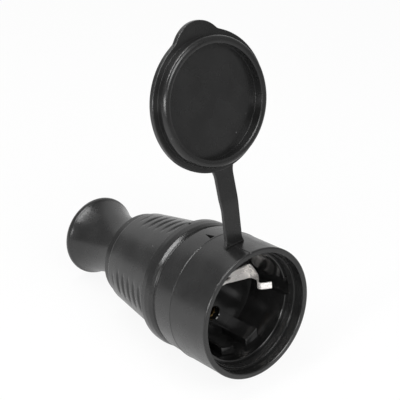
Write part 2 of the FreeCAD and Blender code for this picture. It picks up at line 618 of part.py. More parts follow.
def make_terminal_screw(label, place):
    base = ("terminal_width / 2 + terminal_head_standoff", place, "-(terminal_back - terminal_screw_setback)")
    screw = make_screw(label, base, Vector(-1, 0, 0), "terminal_screw_radius",
                       "terminal_width / 2 + terminal_head_standoff - wire_hole_radius / 2",
                       "terminal_head_radius", "terminal_head_height")
    keep(label, screw)


def make_earth_terminal():
    stem = new_rod("earth_stem", "stem_radius", ("0", "0", "-terminal_front"),
                   "contact_tube_length + floor_thickness")
    keep("earth_terminal", combine("Part::MultiFuse", "earth_terminal", [stem, terminal_block("earth", "0")]))


def make_carrier_screws():
    screws = []
    for number_of, sign in enumerate(("", "-"), start=1):
        spot = sign + "carrier_screw_place"
        screws.append(make_screw("carrier_screw_%d" % number_of, (spot, spot, "-plate_back"), Vector(0, 0, 1),
                                 "carrier_screw_radius", "carrier_plate + carrier_screw_bite",
                                 "carrier_head_radius", "carrier_head_height"))
    keep("carrier_screws", combine("Part::Compound", "carrier_screws", screws))


# Cord clamp, seal and washer

def make_cord_clamp():
    """Two grooved bars that two screws draw together on the cord."""
    span = ("-arm_inner", "arm_inner")
    along = ("-clamp_back", "-clamp_front")
    for label, low, high in (("cord_clamp_saddle", "-(clamp_gap / 2 + clamp_thickness)", "-clamp_gap / 2"),
                             ("cord_clamp_bar", "clamp_gap / 2", "clamp_gap / 2 + clamp_thickness")):
        bar = new_box(label + "_block", (low, high), span, along)
        groove = new_rod(label + "_groove", "clamp_groove_radius", ("0", "0", "-clamp_back"),
                         "clamp_length")
        tools = [groove]
        for side, sign in (("upper", ""), ("lower", "-")):
            tools.append(new_rod("%s_%s_hole" % (label, side),
                                 "clamp_screw_radius" + (" + stem_clearance" if low[0] != "-" else ""),
                                 (low, sign + "clamp_screw_place", "-(clamp_front + clamp_length / 2)"),
                                 "clamp_thickness", Vector(1, 0, 0)))
        keep(label, subtract(label, bar, tools))
    screws = []
    for name, sign in (("clamp_screw_upper", ""), ("clamp_screw_lower", "-")):
        base = ("clamp_gap / 2 + clamp_thickness", sign + "clamp_screw_place",
                "-(clamp_front + clamp_length / 2)")
        screws.append(make_screw(name, base, Vector(-1, 0, 0), "clamp_screw_radius",
                                 "clamp_screw_length", "clamp_head_radius", "clamp_head_height"))
    keep("cord_clamp_screws", combine("Part::Compound", "cord_clamp_screws", screws))


def make_cable_seal():
    body = new_body("cable_seal")
    revolve(body, "seal_ring", [
        ("seal_bore_radius", "-seal_back"), ("seal_radius", "-seal_back"),
        ("seal_radius", "-seal_front"), ("seal_bore_radius + seal_chamfer", "-seal_front"),
        ("seal_bore_radius", "-(seal_front + seal_chamfer)")])
    washer = new_body("thrust_washer")
    revolve(washer, "washer_ring", [
        ("seal_bore_radius + seal_chamfer", "-seal_front"), ("seal_radius", "-seal_front"),
        ("seal_radius", "-cavity_end"), ("seal_bore_radius + seal_chamfer", "-cavity_end")])


# Cap and strap, each in a frame of its own

def make_cap_strap():
    """The strap's lower half; its frame sits on the root fold and +Y runs up the strap."""
    body = new_body("cap_strap")
    face = new_sketch(body, "strap_face", "XY_Plane")
    draw_outline(face, [
        ("-strap_width / 2", "0"), ("strap_width / 2", "0"),
        ("strap_width / 2", "link_length - flex_gap"), ("-strap_width / 2", "link_length - flex_gap")])
    extrude(body, "strap_sheet", face, "strap_thickness", reverse=True)
    half = number("link_length") / 2
    round_edges(body, "strap_edges", "strap_thickness / 5",
                lambda edge: edge.Length > half and abs(edge.tangentAt(edge.FirstParameter).y) > 0.99)


def make_cap():
    """The cap with its thumb tab and its half of the strap; its frame sits on the inner face's centre."""
    body = new_body("cap")
    disc = new_sketch(body, "cap_outline", "XY_Plane")
    draw_circle(disc, "0", "0", "cap_radius")
    extrude(body, "cap_disc", disc, "cap_thickness", reverse=True)
    tab = new_sketch(body, "tab_outline", "XY_Plane")
    draw_circle(tab, "0", "tab_centre", "tab_radius")
    extrude(body, "thumb_tab", tab, "cap_thickness", reverse=True)
    round_edges(body, "cap_edges", "cap_edge_round", lambda edge: isinstance(edge.Curve, Part.Circle))
    fold = "-(cap_reach + neck_length)"
    neck = new_sketch(body, "neck_outline", "XY_Plane")
    draw_outline(neck, [
        ("-strap_width / 2", fold + " + flex_gap"), ("strap_width / 2", fold + " + flex_gap"),
        ("strap_root_width / 2", "-(cap_radius - strap_bite)"),
        ("-strap_root_width / 2", "-(cap_radius - strap_bite)")])
    extrude(body, "strap_neck", neck, "strap_thickness", reverse=True)
    crest, crown = "bead_crest", "(bead_width * 0.6)"
    revolve(body, "sealing_bead", [
        ("bead_radius - bead_width", "-cap_thickness / 2"), ("bead_radius", "-cap_thickness / 2"),
        ("bead_radius", "%s - %s" % (crest, crown), crown, 1), ("bead_radius - " + crown, crest),
        ("bead_radius - bead_width", crest + " - bead_width / 20")])
    mark = new_sketch(body, "mark_outline", "XY_Plane")
    draw_circle(mark, "0", "tab_mark_centre", "tab_mark_radius")
    cut(body, "tab_mark", mark, "tab_mark_cut")
    inner = number("bead_radius - bead_width")
    round_edges(body, "bead_root", "bead_root_round", lambda edge: is_circle(edge, inner, 0))


# The pieces

make_front_sleeve()
make_rear_handle()
make_socket_insert()
make_terminal_carrier()
make_earth_strip()
for side, place in (("live", "pin_spacing / 2"), ("neutral", "-pin_spacing / 2")):
    make_contact(side + "_contact", place)
    make_contact_spring(side + "_contact_spring", place)
    make_terminal_screw(side + "_terminal_screw", place)
make_earth_terminal()
make_terminal_screw("earth_terminal_screw", "0")
make_carrier_screws()
make_cord_clamp()
make_cable_seal()
make_cap_strap()
make_cap()
doc.recompute()


# The way the connector lies and its cap stands open

lean = math.degrees(math.atan2(number("ridge_radius - bell_radius"),
                               number("bell_end - bell_round - ridge_depth")))
root_fold = Vector(0, number("pivot_height"), -number("strap_depth"))


def tip_back(angle):
    """A direction in the connector frame that leans back from +Y by an angle."""
    return Vector(0, math.cos(math.radians(angle)), -math.sin(math.radians(angle)))


middle_fold = root_fold + tip_back(SIZES["strap_lean"]) * number("link_length")
cap_centre = middle_fold + tip_back(SIZES["cap_lean"]) * number("cap_reach + neck_length")
across = Vector(1, 0, 0)
poses = {
    "cap_strap": Placement(root_fold, Rotation(across, -SIZES["strap_lean"])),
    "cap": Placement(cap_centre, Rotation(across, -SIZES["cap_lean"])),
}
rest = Placement(Vector(), Rotation(across, 90 - lean))
for label, piece in parts.items():
    piece.Placement = rest.multiply(poses.get(label, Placement()))
doc.recompute()

bounds = FreeCAD.BoundBox()
for piece in parts.values():
    bounds.add(piece.Shape.optimalBoundingBox(True, False))
shift = Vector(-bounds.Center.x, -bounds.Center.y, -bounds.ZMin)
for piece in parts.values():
    piece.Placement = Placement(shift, Rotation()).multiply(piece.Placement)
doc.recompute()


# Checks and export

failed = [item.Name for item in doc.Objects if "Invalid" in item.State or "Error" in item.State]
for label, piece in parts.items():
    if piece.Shape.isNull() or not piece.Shape.isValid():
        failed.append(label)
if failed:
    raise RuntimeError("failed: " + ", ".join(failed))

frame = Placement(shift, Rotation()).multiply(rest)
for title, spot in (("mouth centre", Vector()), ("root fold", root_fold), ("middle fold", middle_fold),
                    ("cap centre", cap_centre)):
    print(title, [round(value, 4) for value in frame.multVec(spot)])
print("lean", round(lean, 4))

os.makedirs("parts", exist_ok=True)
for label, piece in parts.items():
    piece.Shape.exportStep("parts/%s.step" % label)
    print(label, len(piece.Shape.Solids), round(piece.Shape.Volume, 1))
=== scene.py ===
"""Looks of the inline socket connector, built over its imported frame.

Outlines are in millimetres in the connector's own frame: the origin is the mouth's centre, +Z points
out of the mouth, +Y at the cap's strap. The cap has a frame of its own, whose origin is the centre of
its inner face.
"""

import math

import bmesh
import bpy
import numpy as np
from mathutils import Matrix, Vector


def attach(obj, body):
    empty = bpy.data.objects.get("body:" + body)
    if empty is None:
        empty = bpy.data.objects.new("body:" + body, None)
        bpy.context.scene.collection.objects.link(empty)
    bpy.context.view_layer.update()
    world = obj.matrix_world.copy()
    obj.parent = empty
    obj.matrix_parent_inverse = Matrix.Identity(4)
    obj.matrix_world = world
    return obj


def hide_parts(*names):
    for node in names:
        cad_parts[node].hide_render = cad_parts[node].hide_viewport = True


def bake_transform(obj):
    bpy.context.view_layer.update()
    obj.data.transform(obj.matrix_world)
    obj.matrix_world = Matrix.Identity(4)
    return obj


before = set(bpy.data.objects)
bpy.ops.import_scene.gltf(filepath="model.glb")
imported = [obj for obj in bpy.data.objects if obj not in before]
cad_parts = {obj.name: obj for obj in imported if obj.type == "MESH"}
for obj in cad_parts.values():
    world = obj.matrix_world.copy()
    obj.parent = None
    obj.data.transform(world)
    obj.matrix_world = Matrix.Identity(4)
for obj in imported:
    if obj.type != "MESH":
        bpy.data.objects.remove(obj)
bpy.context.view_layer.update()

# Frames

MM = 0.001
LEAN, STRAP_LEAN, CAP_LEAN = (math.radians(angle) for angle in (8.0215, 1.6, 8.2))
MOUTH_SPOT = (0, -48.5012, 29.2605)
REST = Matrix.Translation(MOUTH_SPOT) @ Matrix.Rotation(math.pi / 2 - LEAN, 4, "X")

FOLD_Y, FOLD_Z = 25.55, -9.3
ROOT_FOLD = Vector((0, FOLD_Y, FOLD_Z))
LINK = 15.3076  # between the strap's two folds
NECK = 12.4924  # from the middle fold to the cap's edge
CAP_REACH = 25.1  # from the cap's edge at the neck to its centre


def tip_back(angle):
    """The way up the strap where it leans back by an angle."""
    return Vector((0, math.cos(angle), -math.sin(angle)))


MIDDLE_FOLD = ROOT_FOLD + tip_back(STRAP_LEAN) * LINK
CAP_CENTRE = MIDDLE_FOLD + tip_back(CAP_LEAN) * (CAP_REACH + NECK)
CAP_REST = REST @ Matrix.Translation(CAP_CENTRE) @ Matrix.Rotation(-CAP_LEAN, 4, "X")


def row_point(spot):
    """A point in the row frame, in metres."""
    return REST @ Vector(spot) * MM


# Places that several pieces share

INSERT_FRONT, SLEEVE_BACK, COLLAR_BACK = -7.2, -19.7, -36.8
INSERT_RADIUS, RECESS_RADIUS, RECESS_FLOOR = 22.4, 19.75, -25.3
ROUND_STEPS = 240

# Outlines

SIDE_SHARE = 0.49  # the most of a side that one rounded corner takes


def unit(vector):
    return vector / max(np.linalg.norm(vector), 1e-9)


def round_corners(corners, closed=True, steps=6, guard=0.12):
    """Points along an outline of (x, y) or (x, y, radius) corners.

    A point on each side of a rounding, at the guard distance, keeps its shading off the flat sides.
    """
    points, count = [], len(corners)
    for index, corner in enumerate(corners):
        here, radius = np.array(corner[:2], float), corner[2] if len(corner) > 2 else 0
        if radius == 0 or (not closed and index in (0, count - 1)):
            points.append(here)
            continue
        before = np.array(corners[index - 1][:2]) - here
        after = np.array(corners[(index + 1) % count][:2]) - here
        room = min(np.linalg.norm(before), np.linalg.norm(after)) * SIDE_SHARE
        half = math.acos(np.clip(unit(before) @ unit(after), -1, 1)) / 2
        reach = min(radius / math.tan(half), room)
        centre = here + unit(unit(before) + unit(after)) * reach / math.cos(half)
        first, last = here + unit(before) * reach, here + unit(after) * reach
        sweep = math.pi - 2 * half
        guarded = reach + guard < room
        if guarded:
            points.append(here + unit(before) * (reach + guard))
        for share in np.arange(steps + 1) / steps:
            mix = (math.sin((1 - share) * sweep) * (first - centre)
                   + math.sin(share * sweep) * (last - centre))
            points.append(centre + mix / math.sin(sweep))
        if guarded:
            points.append(here + unit(after) * (reach + guard))
    return np.array(points)


def arc(start, finish, radius, turn, steps=10):
    """Points of an arc, without its last one; turn is 1 when it runs anticlockwise."""
    start, finish = np.array(start, float), np.array(finish, float)
    chord = finish - start
    half = np.linalg.norm(chord) / 2
    aside = unit(np.array([-chord[1], chord[0]])) * turn * math.sqrt(radius ** 2 - half ** 2)
    centre = (start + finish) / 2 + aside
    first, sweep = math.atan2(*(start - centre)[::-1]), 2 * math.asin(half / radius) * turn
    angles = first + sweep * np.arange(steps) / steps
    return [centre + radius * np.array([math.cos(angle), math.sin(angle)]) for angle in angles]


def even_steps(points, step, closed=True):
    """The same outline with its long runs divided."""
    result, count = [], len(points)
    for index in range(count if closed else count - 1):
        start, finish = np.array(points[index]), np.array(points[(index + 1) % count])
        parts = max(1, math.ceil(np.linalg.norm(finish - start) / step))
        result += [start + (finish - start) * part / parts for part in range(parts)]
    if not closed:
        result.append(points[-1])
    return np.array(result)


# Meshes

MERGE_DISTANCE = 1e-4
FLOOR_GAP = 0.01 * MM
SHARP_ANGLE = math.radians(32)
CUTTER_SIDES = 64


def add_object(name, data):
    thing = bpy.data.objects.new(name, data)
    bpy.context.scene.collection.objects.link(thing)
    return thing


def add_mesh(name, bm):
    """An object from a bmesh, which is used up."""
    mesh = bpy.data.meshes.new(name)
    bm.to_mesh(mesh)
    bm.free()
    return add_object(name, mesh)


def clean(bm):
    bmesh.ops.remove_doubles(bm, verts=bm.verts, dist=MERGE_DISTANCE)
    bmesh.ops.recalc_face_normals(bm, faces=bm.faces)


def finish_piece(name, bm, place, material):
    """Put a bmesh drawn in millimetres in the row frame, resting on the floor, as a smooth shaded object."""
    clean(bm)
    bmesh.ops.transform(bm, matrix=Matrix.Scale(MM, 4) @ place, verts=bm.verts)
    for vertex in bm.verts:
        vertex.co.z = max(vertex.co.z, FLOOR_GAP)
    piece = add_mesh(name, bm)
    piece.data.shade_smooth()
    piece.data.set_sharp_from_angle(angle=SHARP_ANGLE)
    piece.data.materials.append(material)
    return piece


def add_rings(bm, rings, capped=False):
    """Join rings of the same count of points: the last to the first, or with a cap on both ends."""
    rows = [[bm.verts.new(point) for point in ring] for ring in rings]
    count = len(rows[0])
    for low, high in zip(rows, rows[1:] if capped else rows[1:] + rows[:1]):
        for index in range(count):
            following = (index + 1) % count
            bm.faces.new((low[index], low[following], high[following], high[index]))
    if capped:
        bm.faces.new(rows[0])
        bm.faces.new(rows[-1])


def angle_steps(count, extra=()):
    """Angles round the axis from +Y, with more of them, in degrees, where a detail needs them."""
    even = np.arange(count) * 2 * math.pi / count
    return np.unique(np.round(np.concatenate([even, np.radians(extra) % (2 * math.pi)]), 6))


def turned(outline, angles, shape=None):
    """Rings of an outline of (radius, z), turned about the axis. shape moves (radius, z) at each angle."""
    rings = []
    for radius, z in outline:
        radii, heights = np.full(len(angles), radius), np.full(len(angles), z)
        if shape:
            radii, heights = shape(radii, heights, angles)
        rings.append(np.column_stack([radii * np.sin(angles), radii * np.cos(angles), heights]))
    return rings


def turned_piece(name, outline, material, angles, shape=None, place=REST):
    bm = bmesh.new()
    add_rings(bm, turned(outline, angles, shape))
    return finish_piece(name, bm, place, material)


def cut_away(bm, tool):
    """A bmesh less another one. Both are used up."""
    pair = []
    for part in (bm, tool):
        clean(part)
        pair.append(add_mesh("solid", part))
    cut = pair[0].modifiers.new("cut", "BOOLEAN")
    cut.operation, cut.solver, cut.object = "DIFFERENCE", "EXACT", pair[1]
    bpy.context.view_layer.update()
    shape = pair[0].evaluated_get(bpy.context.evaluated_depsgraph_get()).to_mesh()
    result = bmesh.new()
    result.from_mesh(shape)
    for item in pair:
        bpy.data.objects.remove(item)
    return result


def round_tool(bm, y, levels):
    """A turned cutter through (radius, z) levels, round a point of the middle plane."""
    angles = np.arange(CUTTER_SIDES) * 2 * math.pi / CUTTER_SIDES
    add_rings(bm, [[(radius * math.cos(angle), y + radius * math.sin(angle), z) for angle in angles]
                   for radius, z in levels], capped=True)


def box_tool(bm, low, high):
    add_rings(bm, [[(low[0], low[1], z), (high[0], low[1], z), (high[0], high[1], z), (low[0], high[1], z)]
                   for z in (low[2], high[2])], capped=True)


# Materials

COLOUR_FADE, GLOSS_FADE = (0.35, 0.65), (0.3, 0.7)  # noise between which colour and gloss change
GLOSS_PATCH = 0.6  # size of the gloss patches, as a share of the colour patches
SPECK_RIM = (0.03, 0.07)  # where a speck's edge lies, as a share of the spacing
SPECK_FADE, SPECK_PATCH = (0.56, 0.6), 2.3  # noise that lets specks appear, and its size in spacings
GRAIN_DEPTH = 0.2  # height of the grain, as a share of its size


def grey(level, warmth=0.0):
    return (level * (1 + warmth), level, level * (1 - warmth))


def add_node(tree, kind):
    return tree.nodes.new("ShaderNode" + kind)


def set_range(node, source, target):
    """Let a Map Range node turn the source range into the target range, each (low, high)."""
    for socket, value in zip(("From Min", "From Max", "To Min", "To Max"), (*source, *target)):
        node.inputs[socket].default_value = value


def build_material(name, dark, light, patch, rough, grain, bump, metallic=0.0, dust=None,
                   stretch=(1, 1, 1)):
    """Colour, gloss and grain that vary over the surface. patch and grain are sizes in millimetres.

    dust is the spacing and the colour of small specks.
    """
    material = bpy.data.materials.new(name)
    material.use_nodes = True
    tree = material.node_tree
    links, shader = tree.links, tree.nodes["Principled BSDF"]
    shader.inputs["Metallic"].default_value = metallic
    place, scaled = add_node(tree, "TexCoord"), add_node(tree, "Mapping")
    scaled.inputs["Scale"].default_value = stretch
    links.new(place.outputs["Object"], scaled.inputs["Vector"])

    def noise(size, detail):
        texture = add_node(tree, "TexNoise")
        texture.inputs["Scale"].default_value = 1 / (size * MM)
        texture.inputs["Detail"].default_value = detail
        links.new(scaled.outputs["Vector"], texture.inputs["Vector"])
        return texture.outputs["Fac"]

    def remap(source, limits, target):
        scale = add_node(tree, "MapRange")
        set_range(scale, limits, target)
        links.new(source, scale.inputs["Value"])
        return scale.outputs["Result"]

    colours = add_node(tree, "ValToRGB")
    for element, at, shade in zip(colours.color_ramp.elements, COLOUR_FADE, (dark, light)):
        element.position, element.color = at, (*shade, 1)
    links.new(noise(patch, 4), colours.inputs["Fac"])
    colour = colours.outputs["Color"]
    if dust:
        spacing, dust_colour = dust
        specks, share, mixed = (add_node(tree, kind) for kind in ("TexVoronoi", "Math", "MixRGB"))
        specks.inputs["Scale"].default_value = 1 / (spacing * MM)
        specks.inputs["Randomness"].default_value = 1
        links.new(scaled.outputs["Vector"], specks.inputs["Vector"])
        share.operation = "MULTIPLY"
        links.new(remap(specks.outputs["Distance"], SPECK_RIM, (1, 0)), share.inputs[0])
        links.new(remap(noise(spacing * SPECK_PATCH, 1), SPECK_FADE, (0, 1)), share.inputs[1])
        mixed.inputs["Color2"].default_value = (*dust_colour, 1)
        links.new(share.outputs[0], mixed.inputs["Fac"])
        links.new(colour, mixed.inputs["Color1"])
        colour = mixed.outputs["Color"]
    links.new(colour, shader.inputs["Base Color"])
    links.new(remap(noise(patch * GLOSS_PATCH, 5), GLOSS_FADE, rough), shader.inputs["Roughness"])
    relief = add_node(tree, "Bump")
    relief.inputs["Strength"].default_value = bump
    relief.inputs["Distance"].default_value = grain * GRAIN_DEPTH * MM
    links.new(noise(grain, 3), relief.inputs["Height"])
    links.new(relief.outputs["Normal"], shader.inputs["Normal"])
    return material


RUBBER = build_material("rubber", dark=grey(0.011), light=grey(0.017), patch=9, rough=(0.2, 0.3),
                        grain=0.35, bump=0.22, dust=(5.5, grey(0.09)))
# The same rubber as the sleeve's, painted darker: painted shade on the cap and the strap.
CAP_RUBBER_SHADED = build_material("cap_rubber_painted_shade", dark=grey(0.007), light=grey(0.011), patch=12, rough=(0.2, 0.32),
                            grain=0.3, bump=0.25, dust=(4.5, grey(0.09)))
PLASTIC = build_material("insert_gloss", dark=grey(0.005), light=grey(0.009), patch=6, rough=(0.12, 0.22),
                         grain=0.5, bump=0.1, dust=(3.5, grey(0.08)))
CARRIER = build_material("carrier_matt", dark=grey(0.55, 0.02), light=grey(0.62, 0.02), patch=5,
                         rough=(0.4, 0.5), grain=0.4, bump=0.2)
NICKEL = build_material("nickel", dark=grey(0.86, 0.035), light=grey(0.94, 0.03), patch=3,
                        rough=(0.2, 0.36), grain=0.25, bump=0.15, metallic=0.45, stretch=(0.25, 1, 1))
# The brass is painted much darker than bare brass: painted shade for the contacts that sit deep in the pin
# holes.
BRASS = build_material("brass_painted_shade", dark=(0.3, 0.19, 0.07), light=(0.38, 0.25, 0.1), patch=2.5,
                       rough=(0.22, 0.36), grain=0.2, bump=0.2, metallic=1.0)
STEEL = build_material("zinc_plate", dark=grey(0.5, -0.02), light=grey(0.62, -0.01), patch=2,
                       rough=(0.28, 0.42), grain=0.2, bump=0.25, metallic=1.0)

# Front sleeve

SLEEVE = round_corners([
    (22.5, SLEEVE_BACK), (22.5, INSERT_FRONT), (21.9, INSERT_FRONT, 0.1), (21.9, -3.7, 0.45),
    (22.6, -4.6, 0.1), (22.95, -4.6, 0.1), (22.95, -0.4, 0.2), (23.3, -0.08, 0.35), (25.09, -0.08, 0.6),
    (25.0, -3.5), (24.97, -19.0, 0.3), (25.09, -19.25, 0.15), (25.09, SLEEVE_BACK, 0.3),
    (24.0, SLEEVE_BACK)])
LINE_MIDDLE, LINE_HALF = -1.5, 0.5  # degrees round the axis from +Y
LINE_DEGREES = LINE_MIDDLE + LINE_HALF * np.linspace(-1, 1, 5)
LINE_DEPTH = 0.15
LINE_RADIUS, LINE_BACK = 22.8, FOLD_Z  # the line is on what lies outside the one and in front of the other


def sleeve_shape(radii, heights, angles):
    """A fine moulding line along the top, from the strap to the lip and into the mouth."""
    off = np.abs((angles - math.radians(LINE_MIDDLE) + math.pi) % (2 * math.pi) - math.pi)
    line = np.clip(1 - off / math.radians(LINE_HALF), 0, 1)
    marked = (radii > LINE_RADIUS) & (heights > LINE_BACK)
    return radii - np.where(marked, LINE_DEPTH * line, 0), heights


sleeve = turned_piece("sleeve", even_steps(SLEEVE, 1.2), RUBBER, angle_steps(ROUND_STEPS, LINE_DEGREES),
                      sleeve_shape)
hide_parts("front_sleeve")

# Rear handle: the collar's band, its waist and its ridge, then the barrel with its grips, neck and bell

COLLAR = round_corners([
    (22.6, SLEEVE_BACK), (24.75, SLEEVE_BACK, 0.2), (24.45, -28.4, 0.4), (23.55, -28.9, 0.3),
    (23.55, -30.0, 0.3), (24.1, -30.3, 0.4), (24.72, -31.8, 2.4), (24.97, -34.0, 4), (24.8, -36.4, 0.35),
    (24.4, COLLAR_BACK, 0.1), (22.0, COLLAR_BACK), (22.0, -33.0)])
COLLAR_STEPS = 216
ARROW, ARROW_FLOOR = ((-2.2, -20.2), (0.2, -20.4), (-0.9, -24.6)), 23.8
NICK_LOW, NICK_HIGH = (-0.1, 24.2, -35.7), (1.0, 26.0, -34.7)

CONE_FRONT, CONE_BACK, CONE_STEPS = (22.95, -36.9), (18.75, -64.5), 92
BARREL = [(12.0, -61.0), (18.6, -38.0), (22.9, -36.6)]
BARREL += list(np.linspace(CONE_FRONT, CONE_BACK, CONE_STEPS, endpoint=False))
BARREL += arc(CONE_BACK, (17.6, -66.1), 1.7, -1) + [(17.6, -66.1), (17.4, -66.15), (17.35, -66.3)]
BARREL += arc((17.3, -69.3), (16.7, -69.9), 0.6, -1) + [(16.7, -69.9)]
BARREL += arc((13.7, -69.9), (12.2, -71.4), 1.5, 1) + [(12.2, -71.4)]
BARREL += arc((12.2, -75.4), (15.5, -95.4), 36, 1, 30) + arc((15.5, -95.4), (13.7, -99.35), 2.4, -1, 16)
BARREL += arc((13.7, -99.35), (11.95, -98.2), 1.6, -1) + arc((11.95, -98.2), (5.6, -85.4), 17, -1, 20)
BARREL += [(5.6, -85.4), (5.6, -68.0), (8.6, -68.0), (8.6, -61.5)]

GRIPS = [41.2 + 4.1 * index for index in range(6)]  # depths behind the mouth
GRIP_ZONE, GRIP_INNER = (39, 64.5), 18  # only points at these depths and outside this radius are moved
GRIP_NEAR = 2
GRIP_CUTTER, LAST_CUTTER, GRIP_SOFTNESS = 1.15, 0.8, 0.012
GRIP_LIFT, GRIP_SWEEP = 0.6, 50


def make_collar():
    """The collar with a shallow arrow and a nick on top of it."""
    bm, tool = bmesh.new(), bmesh.new()
    add_rings(bm, turned(even_steps(COLLAR, 1.0), angle_steps(COLLAR_STEPS)))
    add_rings(tool, [[(x, y, z) for x, z in ARROW] for y in (ARROW_FLOOR, NICK_HIGH[1])], capped=True)
    box_tool(tool, NICK_LOW, NICK_HIGH)
    return finish_piece("collar", cut_away(bm, tool), REST, RUBBER)


def cone_radius(depth):
    """Radius of the cone that the grips are set by: 23 mm at the collar's back, and 4.3 mm less in 28 mm."""
    return 23.0 - 4.3 * (depth + COLLAR_BACK) / 28


def barrel_shape(radii, heights, angles):
    """Grip grooves on four sides that fade out at both ends.

    A round cutter makes each one. It swings about a point as far behind the axis as GRIP_SWEEP says, and
    at a side's middle its own axis stands off the cone by GRIP_LIFT.
    """
    depth = -heights[0]
    if radii[0] < GRIP_INNER or not GRIP_ZONE[0] <= depth <= GRIP_ZONE[1]:
        return radii, heights
    turn = (angles + math.pi / 4) % (math.pi / 2) - math.pi / 4
    for grip in GRIPS:
        if abs(depth - grip) < GRIP_NEAR:
            cone = cone_radius(grip)
            swing = np.sqrt(cone ** 2 + GRIP_SWEEP ** 2 + 2 * GRIP_SWEEP * cone * np.cos(turn))
            gap = cone + GRIP_LIFT + GRIP_SWEEP - swing
            cutter = LAST_CUTTER if grip == GRIPS[-1] else GRIP_CUTTER
            cut = cutter - np.sqrt((depth - grip) ** 2 + gap ** 2)
            radii = radii - (cut + np.sqrt(cut ** 2 + GRIP_SOFTNESS)) / 2
    return radii, heights


collar = make_collar()
barrel = turned_piece("barrel", even_steps(BARREL, 1.5), RUBBER, angle_steps(ROUND_STEPS), barrel_shape)
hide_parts("rear_handle")
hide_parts("rear_handle")

# Socket insert

INSERT_OUTSIDE = (
    (0.01, -28.3), (20.9, -28.3), (20.9, -33.0), (INSERT_RADIUS, -33.0), (INSERT_RADIUS, -7.5),
    (22.3, -7.28), (22.05, INSERT_FRONT))
RECESS_WALL = (
    (20.8, INSERT_FRONT), (20.66, -7.22), (20.53, -7.28), (20.42, -7.38), (20.34, -7.52), (20.3, -7.7),
    (RECESS_RADIUS, -16), (RECESS_RADIUS, -25.0), (19.66, -25.21), (19.45, RECESS_FLOOR))
RECESS_FLOOR_RADII = (16.5, 0.01)
HALF_STEPS = 60
NOTCH_HALF, NOTCH_REACH, NOTCH_DEPTH, NOTCH_EDGE = 3.5, 21.6, 0.4, 0.3
PIN_Y = 9.5
PIN_ENTRY = ((3.5, -24.8), (3.0, RECESS_FLOOR), (2.75, -25.55), (2.75, -29.0))
MIDDLE_HOLE = ((2.0, -24.8), (2.0, -29.0))
RIB_RADII, RIB_SIDES, RIB_STEPS, RIB_CORNER = (17.0, 20.0), (2.9, 8.9), 9, 0.35
RIB_BACK, RIB_FRONT = -25.4, -11.4
RIB_OUTER, RIB_SLOPE = 19.7, 0.12  # the front falls back by this slope from this radius inwards
RIB_EDGE = ((0, 0.32), (0.03, 0.18), (0.1, 0.08), (0.2, 0.02), (0.34, 0))  # (inset, fall) of its rounding


def recess_outline(radius):
    """The recess as seen from the mouth, with a notch on each side, always the same count of points."""
    corner = math.sqrt(radius ** 2 - NOTCH_HALF ** 2)
    reach = max(NOTCH_REACH, corner + NOTCH_DEPTH)
    start = math.asin(NOTCH_HALF / radius)
    angles = start + (math.pi - 2 * start) * np.arange(HALF_STEPS + 1) / HALF_STEPS
    half = [(radius * math.cos(angle), radius * math.sin(angle)) for angle in angles]
    half[0], half[-1] = (corner, NOTCH_HALF), (-corner, NOTCH_HALF)
    notch = round_corners([
        (-corner, NOTCH_HALF), (-reach, NOTCH_HALF, NOTCH_EDGE), (-reach, -NOTCH_HALF, NOTCH_EDGE),
        (-corner, -NOTCH_HALF)], closed=False, guard=0)
    points = half + [tuple(point) for point in notch[1:-1]]
    return np.array(points + [(-x, -y) for x, y in points])


def matched_circle(radius, outline):
    """A circle with its points at the same angles as an outline's."""
    angles = np.arctan2(outline[:, 1], outline[:, 0])
    return np.column_stack([radius * np.cos(angles), radius * np.sin(angles)])


def at_height(outline, z):
    return np.column_stack([outline, np.full(len(outline), z)])


def inset(outline, distance):
    """The same outline moved inwards along its own normals."""
    along = np.roll(outline, -1, 0) - np.roll(outline, 1, 0)
    normals = np.column_stack([-along[:, 1], along[:, 0]]) / np.linalg.norm(along, axis=1)[:, None]
    area = np.sum(outline[:, 0] * np.roll(outline[:, 1], -1) - outline[:, 1] * np.roll(outline[:, 0], -1))
    return outline + normals * distance * np.sign(area)


def add_rib(bm, side, end):
    """A guide rib in one quarter of the recess, with rounded edges and a sloped front."""
    xs = np.linspace(*RIB_SIDES, RIB_STEPS)
    inner, outer = ([(side * x, end * math.sqrt(radius ** 2 - x ** 2)) for x in xs] for radius in RIB_RADII)
    inner[0], inner[-1] = (*inner[0], RIB_CORNER), (*inner[-1], RIB_CORNER)
    outline = round_corners(inner + outer[::-1], guard=0, steps=4)
    rings = [at_height(outline, RIB_BACK)]
    for shrink, drop in RIB_EDGE:
        ring = inset(outline, shrink)
        reach = np.minimum(np.hypot(ring[:, 0], ring[:, 1]), RIB_OUTER)
        rings.append(at_height(ring, RIB_FRONT - (RIB_OUTER - reach) * RIB_SLOPE - drop))
    add_rings(bm, rings, capped=True)


def make_insert():
    wall = recess_outline(RECESS_RADIUS)
    rings = [at_height(matched_circle(radius, wall), z) for radius, z in INSERT_OUTSIDE]
    rings += [at_height(recess_outline(radius), z) for radius, z in RECESS_WALL]
    rings += [at_height(matched_circle(radius, wall), RECESS_FLOOR) for radius in RECESS_FLOOR_RADII]
    bm, tool = bmesh.new(), bmesh.new()
    add_rings(bm, rings, capped=True)
    for y in (PIN_Y, -PIN_Y):
        round_tool(tool, y, PIN_ENTRY)
    round_tool(tool, 0, MIDDLE_HOLE)
    bm = cut_away(bm, tool)
    for side in (1, -1):
        for end in (1, -1):
            add_rib(bm, side, end)
    return finish_piece("insert", bm, REST, PLASTIC)


insert = make_insert()
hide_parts("socket_insert")

# Earth strip: one sheet, drawn along x and turned so that its sideways shift points at the cap's strap

